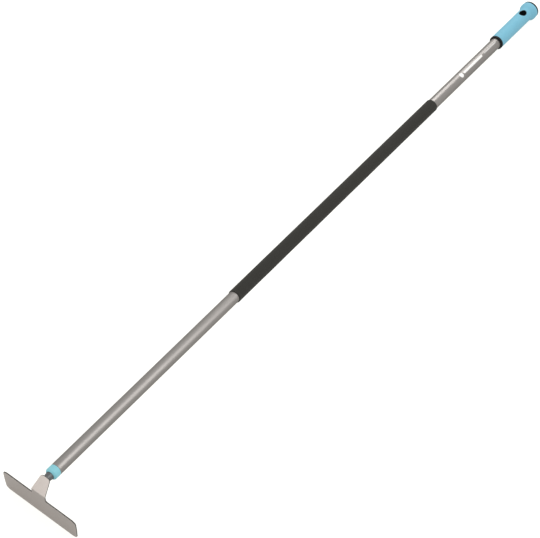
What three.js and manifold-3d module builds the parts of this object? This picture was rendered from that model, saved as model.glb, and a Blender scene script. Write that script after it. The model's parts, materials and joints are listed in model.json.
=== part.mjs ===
// A draw hoe: a stamped steel head welded to a tang, a long aluminium handle with a foam sleeve,
// and a two-component plastic grip with a hanging hole. Millimetres, +Z up.
// The hoe lies on the floor as it is laid down in use: on its cutting edge and on the flare of its grip.
// Every piece is drawn in the handle's own frame: X runs up the handle from the ferrule's lower face,
// Z is the side away from the blade, and the whole tool is then tipped and set on the floor.

import * as THREE from 'three';
import { mergeVertices } from 'three/addons/utils/BufferGeometryUtils.js';
import Module from 'manifold-3d';

const wasm = await Module();
wasm.setup();

// Fits and facets
const FIT_GAP = 0.3;
const LONG_FACETS = 40;
const SMALL_FACETS = 32;
const PIN_FACETS = 20;
const CLEAR_THROUGH = 60;
const TRIM_ALLOWANCE = 12;

// Handle tube
const TUBE_RADIUS = 12;
const TUBE_WALL = 1.2;
const TUBE_START = 16.5;
const TUBE_END = 1624;
const TUBE_BORE = TUBE_RADIUS - TUBE_WALL;

// Foam sleeve on the handle
const SLEEVE_START = 562;
const SLEEVE_END = 1277;
const SLEEVE_RADIUS = 13.7;
const SLEEVE_LIP = 1.1;

// Ferrule, plug, tang and collar at the lower end
const FERRULE_HEAD = 16.2;
const FERRULE_RADIUS = 12.1;
const FERRULE_FACE_RADIUS = 9;
const FERRULE_CHAMFER = 3.5;
const FERRULE_END = 58;
const COUNTERBORE_DEPTH = 9.5;
const TANG_RADIUS = 5;
const TANG_END = 118;
const TANG_CHAMFER = 1.5;
const COLLAR_RADIUS = 8;
const COLLAR_TIP_RADIUS = 6.3;
const COLLAR_TIP = -18;
const PLUG_START = 60;
const PLUG_END = 126;
const PLUG_FLUTES = 8;
const PLUG_FLUTE_RADIUS = 2;
const PIN_PLACE = 40;
const PIN_RADIUS = 2;
const PIN_HEAD_RADIUS = 4;
const PIN_HEAD_HEIGHT = 1.4;
const PIN_DEPTH = 3;

// Steel head: one plate, bent between the blade and the neck
const PLATE = 2.5;
const BLADE_HALF_WIDTH = 82.6;
const BLADE_DEPTH = 78.6;
const BLADE_ANGLE = THREE.MathUtils.degToRad(72.6);
const BLADE_TOP_X = -23.8;
const BLADE_TOP_Z = -42.7;
const BLADE_WIDEST = 30;
const BLADE_SIDE_RADIUS = 650;
const BLADE_CORNER = 10;
const BLADE_SHOULDER = 6;
const BLADE_SHOULDER_IN = 7.5;
const EDGE_LAND = 0.6;
const EDGE_BEVEL = 7;
const TONGUE_HEIGHT = 19.3;
const TONGUE_HALF_WIDTH = 15.2;
const TONGUE_FILLET = 4.5;
const NECK_ANGLE = THREE.MathUtils.degToRad(65.9);
const NECK_LENGTH = 37.3;
const NECK_TOP_HALF_WIDTH = 9.8;
const NECK_CORNER = 6;
const BEND_RADIUS = 4.5;
const WELD_SIZE = 1.7;

// Grip
const GRIP_START = 1539;
const GRIP_END = 1690;
const GRIP_FLANGE = 4.8;
const GRIP_FLANGE_RADIUS = 15.5;
const CORE_RADIUS = 13.8;
const CORE_POCKET_RADIUS = 11;
const CORE_POCKET_START = 1664;
const GRIP_RADIUS = 15.3;
const FLARE_START = 1664;
const FLARE_PEAK = 1678;
const FLARE_RADIUS = 20;
const RIM_RADIUS = 19.2;
const CAP_THICKNESS = 4.4;
const CAP_SPIGOT_START = 1669;
const HOLE_PLACE = 1650;
const HOLE_RADIUS = 6.6;
const EYELET_RADIUS = 7.6;
const HOLE_TURN = THREE.MathUtils.degToRad(7);
const HOLE_STRETCH = 1.3;
const END_PLUG_START = 1600;
const END_PLUG_FLANGE = 2;

// ---- shared making ----

function solidOf(geometry) {
  const bare = geometry.clone();
  bare.deleteAttribute('normal');
  bare.deleteAttribute('uv');
  const welded = mergeVertices(bare, 1e-4);
  const corners = welded.index.array;
  const kept = [];
  for (let i = 0; i < corners.length; i += 3) {
    const [a, b, c] = [corners[i], corners[i + 1], corners[i + 2]];
    if (a !== b && b !== c && c !== a) {
      kept.push(a, b, c);
    }
  }
  return new wasm.Manifold(new wasm.Mesh({
    numProp: 3,
    vertProperties: new Float32Array(welded.attributes.position.array),
    triVerts: new Uint32Array(kept),
  }));
}

function geometryOf(solid) {
  const mesh = solid.getMesh();
  const geometry = new THREE.BufferGeometry();
  geometry.setAttribute('position', new THREE.BufferAttribute(mesh.vertProperties, 3));
  geometry.setIndex(new THREE.BufferAttribute(mesh.triVerts, 1));
  geometry.computeVertexNormals();
  return geometry;
}

// A body turned about the handle's axis; each point is [place along the handle, radius].
function turned(points, facets = LONG_FACETS) {
  const profile = points.map(([place, radius]) => new THREE.Vector2(radius, place));
  return new THREE.LatheGeometry(profile, facets).rotateZ(-Math.PI / 2);
}

// A turned ring: outer points from low to high, then the inner points back down, closed on itself.
function turnedRing(outer, inner, facets = LONG_FACETS) {
  return turned([...outer, ...inner, outer[0]], facets);
}

// Points [place, radius] of a quarter or longer arc, for rounded edges of turned bodies.
function arcPoints(place, radius, size, fromAngle, toAngle, steps) {
  const points = [];
  for (let i = 0; i <= steps; i += 1) {
    const angle = fromAngle + (toAngle - fromAngle) * (i / steps);
    points.push([place + size * Math.cos(angle), radius + size * Math.sin(angle)]);
  }
  return points;
}

function finish(name, geometry, color, roughness, metalness) {
  const material = new THREE.MeshStandardMaterial({ color, roughness, metalness });
  const mesh = new THREE.Mesh(geometry, material);
  mesh.name = name;
  return mesh;
}

// ---- the steel head ----

const across = new THREE.Vector3(0, 1, 0);
const bladeDown = new THREE.Vector3(Math.cos(BLADE_ANGLE), 0, -Math.sin(BLADE_ANGLE));
const bladeOut = new THREE.Vector3().crossVectors(across, bladeDown);
const neckUp = new THREE.Vector3(Math.cos(NECK_ANGLE), 0, Math.sin(NECK_ANGLE));
const neckIn = new THREE.Vector3().crossVectors(across, neckUp);
const bladeTop = new THREE.Vector3(BLADE_TOP_X, 0, BLADE_TOP_Z);
const bendLine = bladeTop.clone().addScaledVector(bladeDown, -TONGUE_HEIGHT);

// Both outer faces end this far short of the bend line, where the bend's round begins.
const BEND_TANGENT = BEND_RADIUS * Math.tan((Math.PI - BLADE_ANGLE - NECK_ANGLE) / 2);

// The bent plate seen from the side, as [x, z] points: outer face up, inner face back down.
function plateProfile() {
  const step = (origin, along, distance, inward, depth) => {
    const point = origin.clone().addScaledVector(along, distance).addScaledVector(inward, depth);
    return [point.x, point.z];
  };
  const bladeIn = bladeOut.clone().negate();
  const bendStart = bendLine.clone().addScaledVector(bladeDown, BEND_TANGENT);
  const bendCentre = bendStart.addScaledVector(bladeIn, BEND_RADIUS);
  const startAngle = Math.atan2(bladeOut.z, bladeOut.x);
  const endAngle = Math.atan2(-neckIn.z, -neckIn.x);
  const sweep = THREE.MathUtils.euclideanModulo(endAngle - startAngle + Math.PI, 2 * Math.PI) - Math.PI;
  const bendArc = (radius) => {
    const points = [];
    const steps = 6;
    for (let i = 0; i <= steps; i += 1) {
      const angle = startAngle + sweep * (i / steps);
      points.push([bendCentre.x + radius * Math.cos(angle), bendCentre.z + radius * Math.sin(angle)]);
    }
    return points;
  };
  return [
    step(bladeTop, bladeDown, BLADE_DEPTH, bladeIn, EDGE_LAND),
    step(bladeTop, bladeDown, BLADE_DEPTH, bladeIn, 0),
    ...bendArc(BEND_RADIUS),
    step(bendLine, neckUp, NECK_LENGTH, neckIn, 0),
    step(bendLine, neckUp, NECK_LENGTH, neckIn, PLATE),
    ...bendArc(BEND_RADIUS - PLATE).reverse(),
    step(bladeTop, bladeDown, BLADE_DEPTH - EDGE_BEVEL, bladeIn, PLATE),
  ];
}

// The blade's outline with the tongue above it; x across, y down from the top edge.
function bladeOutline() {
  const shape = new THREE.Shape();
  const sideAt = (depth) => {
    const off = depth - BLADE_WIDEST;
    return BLADE_HALF_WIDTH - BLADE_SIDE_RADIUS + Math.sqrt(BLADE_SIDE_RADIUS ** 2 - off ** 2);
  };
  const cornerTop = BLADE_DEPTH - BLADE_CORNER;
  const tongueTop = -TONGUE_HEIGHT - BEND_TANGENT;
  const half = [[TONGUE_HALF_WIDTH, tongueTop]];
  const steps = 5;
  for (let i = 0; i <= steps; i += 1) {
    const angle = Math.PI / 2 * (i / steps);
    const out = TONGUE_HALF_WIDTH + TONGUE_FILLET * (1 - Math.cos(angle));
    half.push([out, -TONGUE_FILLET * (1 - Math.sin(angle))]);
  }
  half.push([sideAt(BLADE_SHOULDER) - BLADE_SHOULDER_IN, 0]);
  const sideSteps = 8;
  for (let i = 0; i <= sideSteps; i += 1) {
    const depth = BLADE_SHOULDER + (cornerTop - BLADE_SHOULDER) * (i / sideSteps);
    half.push([sideAt(depth), depth]);
  }
  for (let i = 1; i <= steps; i += 1) {
    const angle = Math.PI / 2 * (i / steps);
    const back = BLADE_CORNER * (1 - Math.cos(angle));
    half.push([sideAt(cornerTop) - back, cornerTop + BLADE_CORNER * Math.sin(angle)]);
  }
  const whole = [...half, ...half.map(([x, y]) => [-x, y]).reverse()];
  whole.forEach(([x, y], i) => (i === 0 ? shape.moveTo(x, y) : shape.lineTo(x, y)));
  return shape;
}

// The neck's outline: parallel through the bend, tapering above it, with a rounded top.
function neckOutline() {
  const shape = new THREE.Shape();
  const steps = 6;
  const half = [[TONGUE_HALF_WIDTH, -BEND_TANGENT], [TONGUE_HALF_WIDTH, BEND_TANGENT]];
  for (let i = 0; i <= steps; i += 1) {
    const angle = Math.PI / 2 * (i / steps);
    half.push([
      NECK_TOP_HALF_WIDTH - NECK_CORNER * (1 - Math.cos(angle)),
      NECK_LENGTH - NECK_CORNER * (1 - Math.sin(angle)),
    ]);
  }
  const whole = [...half, ...half.map(([x, y]) => [-x, y]).reverse()];
  whole.forEach(([x, y], i) => (i === 0 ? shape.moveTo(x, y) : shape.lineTo(x, y)));
  return shape;
}

// A shape extruded both ways off a plane, placed with its x across and its y along the given way.
function slab(shape, origin, along, depth) {
  const out = new THREE.Vector3().crossVectors(across, along);
  const geometry = new THREE.ExtrudeGeometry(shape, { depth: 2 * depth, bevelEnabled: false });
  geometry.translate(0, 0, -depth);
  const frame = new THREE.Matrix4().makeBasis(across, along, out).setPosition(origin);
  return geometry.applyMatrix4(frame);
}

function hoePlate() {
  const reach = 12;
  const profile = new THREE.Shape(plateProfile().map(([x, z]) => new THREE.Vector2(x, z)));
  const width = BLADE_HALF_WIDTH + reach;
  const blank = new THREE.ExtrudeGeometry(profile, { depth: 2 * width, bevelEnabled: false });
  blank.translate(0, 0, -width).rotateX(Math.PI / 2);
  const outlines = solidOf(slab(bladeOutline(), bladeTop, bladeDown, reach))
    .add(solidOf(slab(neckOutline(), bendLine, neckUp, reach)));
  return geometryOf(solidOf(blank).intersect(outlines));
}

// Everything on the handle's side of the neck plate, less a gap: it trims what is welded to the plate.
function neckSide(gap) {
  const size = 500;
  const block = new THREE.BoxGeometry(size, size, size);
  block.translate(0, 0, size / 2 + PLATE + gap);
  const frame = new THREE.Matrix4().makeBasis(across, neckUp, neckIn).setPosition(bendLine);
  return solidOf(block.applyMatrix4(frame));
}

function tangCollar() {
  const bore = TANG_RADIUS + FIT_GAP;
  const slope = (COLLAR_RADIUS - COLLAR_TIP_RADIUS) / -COLLAR_TIP;
  const low = COLLAR_TIP - TRIM_ALLOWANCE;
  const high = COUNTERBORE_DEPTH - FIT_GAP;
  const outer = [[low, COLLAR_RADIUS + slope * low], [0, COLLAR_RADIUS], [high, COLLAR_RADIUS]];
  const inner = [[high, bore], [low, bore]];
  const ring = solidOf(turnedRing(outer, inner, SMALL_FACETS));
  return geometryOf(ring.intersect(neckSide(FIT_GAP)));
}

function pinHole(radius) {
  const drill = new THREE.CylinderGeometry(radius, radius, CLEAR_THROUGH, PIN_FACETS).rotateX(Math.PI / 2);
  return solidOf(drill.translate(PIN_PLACE, 0, -CLEAR_THROUGH / 2));
}

function tangRod() {
  const low = COLLAR_TIP - TRIM_ALLOWANCE;
  const rod = turned([
    [low, 0],
    [low, TANG_RADIUS],
    [TANG_END - TANG_CHAMFER, TANG_RADIUS],
    [TANG_END, TANG_RADIUS - TANG_CHAMFER],
    [TANG_END, 0],
  ], SMALL_FACETS);
  const trimmed = solidOf(rod).intersect(neckSide(FIT_GAP));
  return geometryOf(trimmed.subtract(pinHole(PIN_RADIUS + FIT_GAP)));
}

// A fillet of weld around the collar where it meets the neck plate: an oval ring in the plate's plane.
function weldBead() {
  const slope = (COLLAR_RADIUS - COLLAR_TIP_RADIUS) / -COLLAR_TIP;
  const low = COLLAR_TIP - TRIM_ALLOWANCE;
  const stretch = 1 / Math.sin(NECK_ANGLE);
  const ring = new THREE.TorusGeometry(COLLAR_TIP_RADIUS + WELD_SIZE / 2, WELD_SIZE, 12, SMALL_FACETS);
  ring.scale(1, stretch, 1);
  const axisDistance = -BLADE_TOP_Z - TONGUE_HEIGHT * Math.sin(BLADE_ANGLE);
  const up = axisDistance / Math.sin(NECK_ANGLE);
  const centre = bendLine.clone().addScaledVector(neckUp, up).addScaledVector(neckIn, PLATE);
  const frame = new THREE.Matrix4().makeBasis(across, neckUp, neckIn).setPosition(centre);
  const collar = turned([
    [low, 0],
    [low, COLLAR_RADIUS + FIT_GAP + slope * low],
    [0, COLLAR_RADIUS + FIT_GAP],
    [0, 0],
  ], SMALL_FACETS);
  const bead = solidOf(ring.applyMatrix4(frame)).intersect(neckSide(FIT_GAP));
  return geometryOf(bead.subtract(solidOf(collar)));
}

// ---- the lower end of the handle ----

function ferrule() {
  const spigot = TUBE_BORE - FIT_GAP;
  const bore = TANG_RADIUS + FIT_GAP;
  const mouth = COLLAR_RADIUS + FIT_GAP;
  const outer = [
    [0, mouth],
    [0, FERRULE_FACE_RADIUS],
    [FERRULE_CHAMFER, FERRULE_RADIUS],
    [FERRULE_HEAD, FERRULE_RADIUS],
    [FERRULE_HEAD, spigot],
    [FERRULE_END - 1, spigot],
    [FERRULE_END, spigot - 1],
  ];
  const inner = [[FERRULE_END, bore], [COUNTERBORE_DEPTH, bore], [COUNTERBORE_DEPTH, mouth]];
  const ring = solidOf(turnedRing(outer, inner));
  return geometryOf(ring.subtract(pinHole(PIN_RADIUS + FIT_GAP)));
}

// A fluted nylon plug that centres the inner end of the tang in the tube.
function tangPlug() {
  const shape = new THREE.Shape();
  const radius = TUBE_BORE - FIT_GAP;
  const half = PLUG_FLUTE_RADIUS / radius;
  for (let i = 0; i < PLUG_FLUTES; i += 1) {
    const middle = 2 * Math.PI * (i / PLUG_FLUTES);
    const next = middle + 2 * Math.PI / PLUG_FLUTES;
    for (let k = 0; k <= 4; k += 1) {
      const swing = Math.PI * (k / 4);
      const turn = middle - half * Math.cos(swing);
      const inset = radius - PLUG_FLUTE_RADIUS * Math.sin(swing);
      shape[i + k === 0 ? 'moveTo' : 'lineTo'](inset * Math.cos(turn), inset * Math.sin(turn));
    }
    for (let k = 1; k <= 2; k += 1) {
      const turn = middle + half + (next - middle - 2 * half) * (k / 3);
      shape.lineTo(radius * Math.cos(turn), radius * Math.sin(turn));
    }
  }
  const length = PLUG_END - PLUG_START;
  const body = new THREE.ExtrudeGeometry(shape, { depth: length, bevelEnabled: false });
  body.rotateY(Math.PI / 2).translate(PLUG_START, 0, 0);
  const bore = turned([
    [PLUG_START - 1, 0],
    [PLUG_START - 1, TANG_RADIUS + FIT_GAP],
    [TANG_END + 1, TANG_RADIUS + FIT_GAP],
    [TANG_END + 1, 0],
  ], SMALL_FACETS);
  return geometryOf(solidOf(body).subtract(solidOf(bore)));
}

// A domed drive pin from below, through the tube and the ferrule into the tang.
function headPin() {
  const seat = TUBE_RADIUS + FIT_GAP;
  const dome = [];
  for (let i = 0; i <= 4; i += 1) {
    const angle = Math.PI / 2 * (i / 4);
    dome.push(new THREE.Vector2(PIN_HEAD_RADIUS * Math.sin(angle), -seat - PIN_HEAD_HEIGHT * Math.cos(angle)));
  }
  const profile = [
    ...dome,
    new THREE.Vector2(PIN_RADIUS, -seat),
    new THREE.Vector2(PIN_RADIUS, -PIN_DEPTH),
    new THREE.Vector2(0, -PIN_DEPTH),
  ];
  return new THREE.LatheGeometry(profile, PIN_FACETS).rotateX(Math.PI / 2).translate(PIN_PLACE, 0, 0);
}

function handleTube() {
  const outer = [[TUBE_START, TUBE_RADIUS], [TUBE_END, TUBE_RADIUS]];
  const inner = [[TUBE_END, TUBE_BORE], [TUBE_START, TUBE_BORE]];
  const tube = solidOf(turnedRing(outer, inner));
  return geometryOf(tube.subtract(pinHole(PIN_RADIUS + FIT_GAP)));
}

function foamSleeve() {
  const round = arcPoints(SLEEVE_END - SLEEVE_LIP, SLEEVE_RADIUS - SLEEVE_LIP, SLEEVE_LIP, Math.PI / 2, 0, 3);
  const outer = [[SLEEVE_START, SLEEVE_RADIUS], ...round];
  const inner = [[SLEEVE_END, TUBE_RADIUS + FIT_GAP], [SLEEVE_START, TUBE_RADIUS + FIT_GAP]];
  return turnedRing(outer, inner);
}

// ---- the grip ----

// A radius that swells from the grip's barrel to the flare and rolls over to the end rim.
function flareRadius(place) {
  if (place <= FLARE_START) {
    return GRIP_RADIUS;
  }
  if (place <= FLARE_PEAK) {
    const share = (place - FLARE_START) / (FLARE_PEAK - FLARE_START);
    return GRIP_RADIUS + (FLARE_RADIUS - GRIP_RADIUS) * (1 - Math.cos(Math.PI * share)) / 2;
  }
  const share = (place - FLARE_PEAK) / (GRIP_END - CAP_THICKNESS - FLARE_PEAK);
  return RIM_RADIUS + (FLARE_RADIUS - RIM_RADIUS) * Math.sqrt(Math.max(0, 1 - share ** 2));
}

// The flared end as [place, radius] points, set in from the outer surface by a depth.
function flarePoints(inset, end) {
  const points = [];
  const steps = 11;
  for (let i = 0; i <= steps; i += 1) {
    const place = FLARE_START + (end - FLARE_START) * (i / steps);
    points.push([place, flareRadius(place) - inset]);
  }
  return points;
}

// A bar through the grip where the hanging hole runs: oval, and longer along the handle.
function holeBar(radius, length = CLEAR_THROUGH) {
  const drill = new THREE.CylinderGeometry(radius, radius, length, SMALL_FACETS).rotateX(Math.PI / 2);
  return solidOf(drill.rotateX(-HOLE_TURN).scale(HOLE_STRETCH, 1, 1).translate(HOLE_PLACE, 0, 0));
}

const CORE_INSET = GRIP_RADIUS - CORE_RADIUS;
const CORE_END = GRIP_END - CAP_THICKNESS - FIT_GAP;

function gripCore() {
  const flangeEnd = GRIP_START + GRIP_FLANGE;
  const socketEnd = TUBE_END + END_PLUG_FLANGE + 2 * FIT_GAP;
  const edge = 0.8;
  const bore = TUBE_RADIUS + FIT_GAP;
  const outer = [
    [GRIP_START, GRIP_FLANGE_RADIUS - edge],
    [GRIP_START + edge, GRIP_FLANGE_RADIUS],
    [flangeEnd - edge, GRIP_FLANGE_RADIUS],
    [flangeEnd, GRIP_FLANGE_RADIUS - edge],
    [flangeEnd, CORE_RADIUS],
    ...flarePoints(CORE_INSET, CORE_END),
    [CORE_END, CORE_POCKET_RADIUS],
    [CORE_POCKET_START, CORE_POCKET_RADIUS],
    [CORE_POCKET_START, 0],
  ];
  const body = solidOf(turned([[GRIP_START, 0], ...outer]));
  const socket = turned([[GRIP_START - 1, 0], [GRIP_START - 1, bore], [socketEnd, bore], [socketEnd, 0]]);
  return geometryOf(body.subtract(solidOf(socket)).subtract(holeBar(EYELET_RADIUS + FIT_GAP)));
}

function gripOvermould() {
  const start = GRIP_START + GRIP_FLANGE + FIT_GAP;
  const end = GRIP_END - CAP_THICKNESS - FIT_GAP;
  const edge = 0.6;
  const outer = [[start, GRIP_RADIUS - edge], [start + edge, GRIP_RADIUS], ...flarePoints(0, end)];
  const inner = [...flarePoints(CORE_INSET - FIT_GAP, end).reverse(), [start, CORE_RADIUS + FIT_GAP]];
  const ring = solidOf(turnedRing(outer, inner));
  return geometryOf(ring.subtract(holeBar(EYELET_RADIUS + FIT_GAP)));
}

// A bush that lines the hanging hole, its two ends curved flush with the barrel.
function hangEyelet() {
  const around = solidOf(turned([
    [TUBE_END, 0],
    [TUBE_END, GRIP_RADIUS],
    ...flarePoints(0, CORE_END),
    [CORE_END, 0],
  ]));
  const bush = holeBar(EYELET_RADIUS, CLEAR_THROUGH - 10).subtract(holeBar(HOLE_RADIUS));
  return geometryOf(bush.intersect(around));
}

function gripEndCap() {
  const edge = 0.9;
  return turned([
    [CAP_SPIGOT_START, 0],
    [CAP_SPIGOT_START, CORE_POCKET_RADIUS - FIT_GAP - edge],
    [CAP_SPIGOT_START + edge, CORE_POCKET_RADIUS - FIT_GAP],
    [GRIP_END - CAP_THICKNESS, CORE_POCKET_RADIUS - FIT_GAP],
    [GRIP_END - CAP_THICKNESS, RIM_RADIUS],
    [GRIP_END - edge, RIM_RADIUS],
    [GRIP_END, RIM_RADIUS - edge],
    [GRIP_END, 0],
  ]);
}

// A plastic plug that closes the cut end of the tube inside the grip.
function tubeEndPlug() {
  const seat = TUBE_END + FIT_GAP;
  const spigot = TUBE_BORE - FIT_GAP;
  return turned([
    [END_PLUG_START, 0],
    [END_PLUG_START, spigot - 1],
    [END_PLUG_START + 1, spigot],
    [seat, spigot],
    [seat, TUBE_RADIUS - FIT_GAP],
    [seat + END_PLUG_FLANGE, TUBE_RADIUS - FIT_GAP],
    [seat + END_PLUG_FLANGE, 0],
  ]);
}

// ---- the whole tool, set down on its cutting edge and on the flare of its grip ----

// Tipping the tool about its cutting edge, the flare's first point to reach the floor sets the angle.
const edgePoint = bladeTop.clone().addScaledVector(bladeDown, BLADE_DEPTH);
const TIP_DOWN = Math.min(...flarePoints(0, CORE_END)
  .map(([place, radius]) => Math.atan2(-edgePoint.z - radius, place - edgePoint.x)));

const tool = new THREE.Group();
tool.add(
  finish('hoe_plate', hoePlate(), 0x9a9692, 0.42, 0.85),
  finish('weld_bead', weldBead(), 0x6f6d6a, 0.6, 0.8),
  finish('tang_collar', tangCollar(), 0x55585a, 0.5, 0.6),
  finish('tang_rod', tangRod(), 0x8c8c8c, 0.4, 0.9),
  finish('ferrule', ferrule(), 0x7dc3d2, 0.5, 0),
  finish('tang_plug', tangPlug(), 0xd8d6cc, 0.6, 0),
  finish('head_pin', headPin(), 0xb4b4b2, 0.35, 0.9),
  finish('handle_tube', handleTube(), 0xb9b4b0, 0.35, 0.9),
  finish('foam_sleeve', foamSleeve(), 0x3c3c39, 0.9, 0),
  finish('tube_end_plug', tubeEndPlug(), 0x2a2c2d, 0.6, 0),
  finish('grip_core', gripCore(), 0x1a2224, 0.45, 0),
  finish('grip_overmould', gripOvermould(), 0x86c8de, 0.6, 0),
  finish('hang_eyelet', hangEyelet(), 0x14191b, 0.45, 0),
  finish('grip_end_cap', gripEndCap(), 0x1a2224, 0.45, 0),
);
tool.rotation.y = TIP_DOWN;

// Standing place: the floor under the cutting edge and the flare, the middle of the tool's length and width.
tool.updateMatrixWorld(true);
const box = new THREE.Box3().setFromObject(tool, true);
const middle = box.getCenter(new THREE.Vector3());
tool.position.set(-middle.x, -middle.y, -box.min.z);

const drawHoe = new THREE.Group();
drawHoe.add(tool);

export default drawHoe;
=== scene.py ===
import json
import math

import bmesh
import bpy
from mathutils import Matrix, Vector, noise


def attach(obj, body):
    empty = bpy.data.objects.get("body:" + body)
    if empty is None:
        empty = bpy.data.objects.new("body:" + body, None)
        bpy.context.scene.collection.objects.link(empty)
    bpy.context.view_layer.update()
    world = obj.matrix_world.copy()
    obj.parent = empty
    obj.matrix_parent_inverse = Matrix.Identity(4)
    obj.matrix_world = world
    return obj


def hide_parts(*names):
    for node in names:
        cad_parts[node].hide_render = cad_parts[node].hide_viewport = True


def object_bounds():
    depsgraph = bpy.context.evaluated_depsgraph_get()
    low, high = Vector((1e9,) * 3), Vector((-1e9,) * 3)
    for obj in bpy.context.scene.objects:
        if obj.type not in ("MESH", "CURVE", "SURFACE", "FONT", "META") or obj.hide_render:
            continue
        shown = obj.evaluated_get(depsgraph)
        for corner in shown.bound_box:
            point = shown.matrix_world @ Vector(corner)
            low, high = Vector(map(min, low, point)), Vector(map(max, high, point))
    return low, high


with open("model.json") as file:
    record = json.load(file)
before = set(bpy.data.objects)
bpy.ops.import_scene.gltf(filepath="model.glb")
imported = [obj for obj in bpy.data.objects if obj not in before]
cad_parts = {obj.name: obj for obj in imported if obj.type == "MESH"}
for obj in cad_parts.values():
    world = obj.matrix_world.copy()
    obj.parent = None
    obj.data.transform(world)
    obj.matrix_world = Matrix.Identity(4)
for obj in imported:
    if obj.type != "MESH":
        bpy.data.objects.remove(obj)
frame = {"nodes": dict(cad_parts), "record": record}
cad_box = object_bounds()

# ---- How the tool lies ----
# The hoe lies where it was put down, tipped on its cutting edge and on the swell of its grip. Each piece is
# drawn along the handle, X running up it from the ferrule and Z away from the blade, and laid down with it.
grip_end = next(mount for mount in frame["record"]["mounts"] if mount["name"] == "grip_end_face")
along = Vector(grip_end["axis"]).normalized()
sideways = Vector((0, 1, 0))
laid_down = Matrix((along, sideways, along.cross(sideways))).transposed().to_4x4()
laid_down.translation = Vector(grip_end["pos_m"])


def points_of(node):
    """Every corner of a CAD node, measured along the handle."""
    stood_up = laid_down.inverted()
    return [stood_up @ vertex.co for vertex in frame["nodes"][node].data.vertices]


def reach(node):
    """Lowest and highest corner of a CAD node, measured along the handle."""
    corners = points_of(node)
    return Vector(map(min, zip(*corners))), Vector(map(max, zip(*corners)))


laid_down.translation += along * reach("ferrule")[0].x

# ---- Hoe head ----
# One blank stamped from 2.5 mm hardened steel: a wide blade, a short tongue and a tapering neck. It is bent
# once across the tongue, its cutting edge is ground on the inner face, and the whole is clear lacquered.
plate_thickness = 0.0025
blade_lean = math.radians(72.6)
neck_lean = math.radians(65.9)
blade_depth = 0.0786
blade_half_width = reach("hoe_plate")[1].y
blade_widest = 0.030
blade_side_radius = 0.650
blade_corner = 0.010
blade_side_step = 0.0082
shoulder_drop = 0.006
shoulder_in = 0.0075
shoulder_soft = 0.0028
tongue_height = 0.0193
tongue_half_width = 0.0152
tongue_fillet = 0.0045
neck_length = 0.0373
neck_top_half_width = 0.0098
neck_corner = 0.0054
bend_radius = 0.0045
bend_steps = 8
bend_side_soft = 0.0015
edge_land = 0.0006
edge_grind = 0.007
burr_off = 0.00035
flat_slot = 0
sheared_and_shaded_slot = 1

blade_down = Vector((math.cos(blade_lean), 0, -math.sin(blade_lean)))
blade_in = -sideways.cross(blade_down)
neck_up = Vector((math.cos(neck_lean), 0, math.sin(neck_lean)))
neck_in = sideways.cross(neck_up)
cutting_edge = min(points_of("hoe_plate"), key=lambda corner: corner.z)
bend_line = cutting_edge - blade_down * (tongue_height + blade_depth)
bend_line.y = 0
bend_angle = math.pi - blade_lean - neck_lean
bend_tangent = bend_radius * math.tan(bend_angle / 2)
half_bend = bend_radius * bend_angle / 2
grind_start = tongue_height - bend_tangent + half_bend + blade_depth - edge_grind


def softened(corners, steps=6):
    """An outline whose corners, each (x, y, soft), are rounded from that far before them to that far past."""
    outline = []
    for i, (x, y, soft) in enumerate(corners):
        here = Vector((x, y))
        if not soft:
            outline.append(here)
            continue
        before = (Vector(corners[i - 1][:2]) - here).normalized()
        after = (Vector(corners[(i + 1) % len(corners)][:2]) - here).normalized()
        half = before.angle(after) / 2
        centre = here + (before + after).normalized() * soft / math.cos(half)
        radius = soft * math.tan(half)
        start = (here + before * soft - centre).normalized()
        end = (here + after * soft - centre).normalized()
        outline += [centre + radius * start.slerp(end, k / steps) for k in range(steps + 1)]
    return outline


def blade_side(depth):
    """Half the blade's width at a depth below its top edge: its ends are drawn with one large radius."""
    bulge = math.sqrt(blade_side_radius ** 2 - (depth - blade_widest) ** 2)
    return blade_half_width - blade_side_radius + bulge


def head_blank():
    """The flat blank's outline: x across it, y down its outer face from the middle of the bend."""
    trim = bend_tangent - half_bend
    top = tongue_height - trim
    side_depths = [shoulder_drop + k * blade_side_step for k in range(1, 8)]
    half = [
        (neck_top_half_width, trim - neck_length, neck_corner),
        (tongue_half_width, -half_bend, bend_side_soft),
        (tongue_half_width, top, tongue_fillet),
        (blade_side(0) - shoulder_in, top, shoulder_soft),
        (blade_side(shoulder_drop), top + shoulder_drop, shoulder_soft),
        *[(blade_side(depth), top + depth, 0) for depth in side_depths],
        (blade_side(blade_depth - blade_corner), top + blade_depth, blade_corner),
    ]
    mirrored = [(-x, y, soft) for x, y, soft in reversed(half)]
    return softened(half + mirrored, 8)


def bent(across, down, height):
    """Where a point of the flat blank comes to lie once the head is bent and ground."""
    ground = max(0, down - grind_start) / edge_grind
    height *= 1 - ground * (plate_thickness - edge_land) / plate_thickness
    start = bend_line + blade_down * bend_tangent
    centre = start + blade_in * bend_radius
    if down >= half_bend:
        place = start + blade_down * (down - half_bend) + blade_in * height
    else:
        turn = min(half_bend - down, 2 * half_bend) / bend_radius
        place = centre + Matrix.Rotation(turn, 3, "Y") @ (-blade_in * (bend_radius - height))
        place += neck_up * max(0, -half_bend - down)
    return place + sideways * across


def join(form, lower, upper):
    """Faces between two rings, or from a ring to the single corner that closes it."""
    sides = max(len(lower), len(upper))
    for k in range(sides if sides > 1 else 0):
        following = (k + 1) % sides
        corners = [lower[k % len(lower)], lower[following % len(lower)]]
        corners += [upper[following % len(upper)], upper[k % len(upper)]]
        form.faces.new(dict.fromkeys(corners))


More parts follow.
